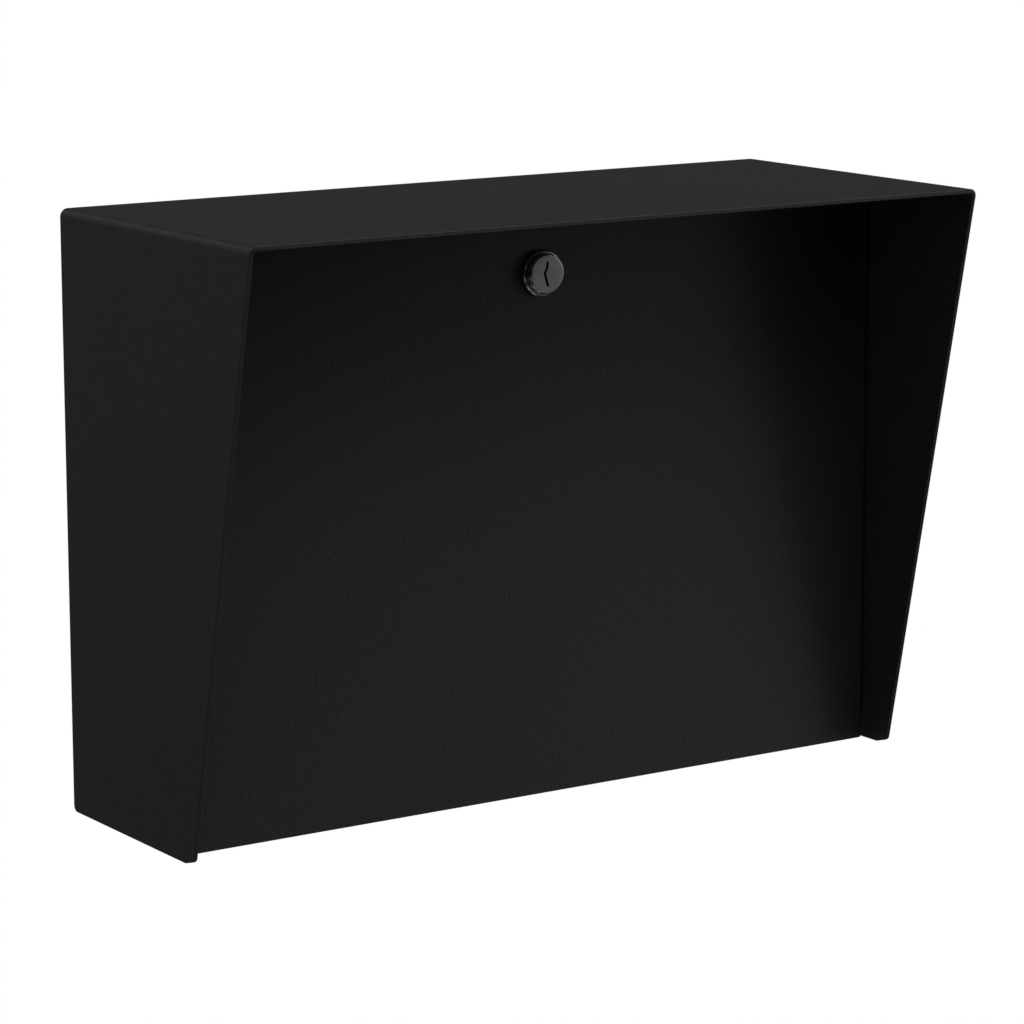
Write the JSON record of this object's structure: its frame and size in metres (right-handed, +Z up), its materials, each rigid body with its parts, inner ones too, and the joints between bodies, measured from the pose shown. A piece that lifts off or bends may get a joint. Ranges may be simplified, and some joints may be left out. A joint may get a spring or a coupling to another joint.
{
  "type": "wall mounted mailbox",
  "caption": "Lockable wall mailbox of folded black steel with a sloping rain hood, a recessed drop-down front door on a continuous hinge and a cam lock.",
  "frame": {"origin": "middle of the flat wall face of the back plate, at y = 0", "axes": "+X across the box to the right as seen from the front, +Y out of the back into the wall, +Z up"},
  "size_m": [0.3556, 0.1555, 0.254],
  "materials": {
    "powder_coat": "black fine-textured powder coat, matt",
    "lock_nickel": "satin nickel plate",
    "zinc_plate": "clear zinc plate",
    "rubber": "matt black rubber"
  },
  "bodies": {
    "box": {"hood_wrap": "powder_coat", "back_plate": "powder_coat", "floor_plate": "powder_coat", "left_jamb": "powder_coat", "right_jamb": "powder_coat", "strike_rail": "powder_coat", "left_bumper": "rubber", "right_bumper": "rubber", "hinge_body_leaf": "zinc_plate", "hinge_pin": "zinc_plate", "hinge_screw_1": "zinc_plate", "hinge_screw_2": "zinc_plate", "hinge_screw_3": "zinc_plate", "hinge_screw_4": "zinc_plate", "hinge_screw_5": "zinc_plate", "hinge_nut_1": "zinc_plate", "hinge_nut_2": "zinc_plate", "hinge_nut_3": "zinc_plate", "hinge_nut_4": "zinc_plate", "hinge_nut_5": "zinc_plate"},
    "door": {"front_door": "powder_coat", "hinge_door_leaf": "zinc_plate", "lock_housing": "lock_nickel", "lock_washer": "zinc_plate", "lock_nut": "zinc_plate"},
    "lock": {"lock_plug": "lock_nickel", "stop_washer": "zinc_plate", "lock_cam": "zinc_plate", "cam_washer": "zinc_plate", "cam_screw": "zinc_plate"}
  },
  "joints": [
    {"name": "door_swing", "type": "hinge", "parent": "box", "child": "door", "pos_m": [0, -0.0822, -0.1238], "axis": [1, 0, 0], "range_deg": [0, 150]},
    {"name": "lock_turn", "type": "hinge", "parent": "door", "child": "lock", "pos_m": [0, -0.0873, 0.0968], "axis": [0, 1, 0], "range_deg": [0, 90]}
  ]
}
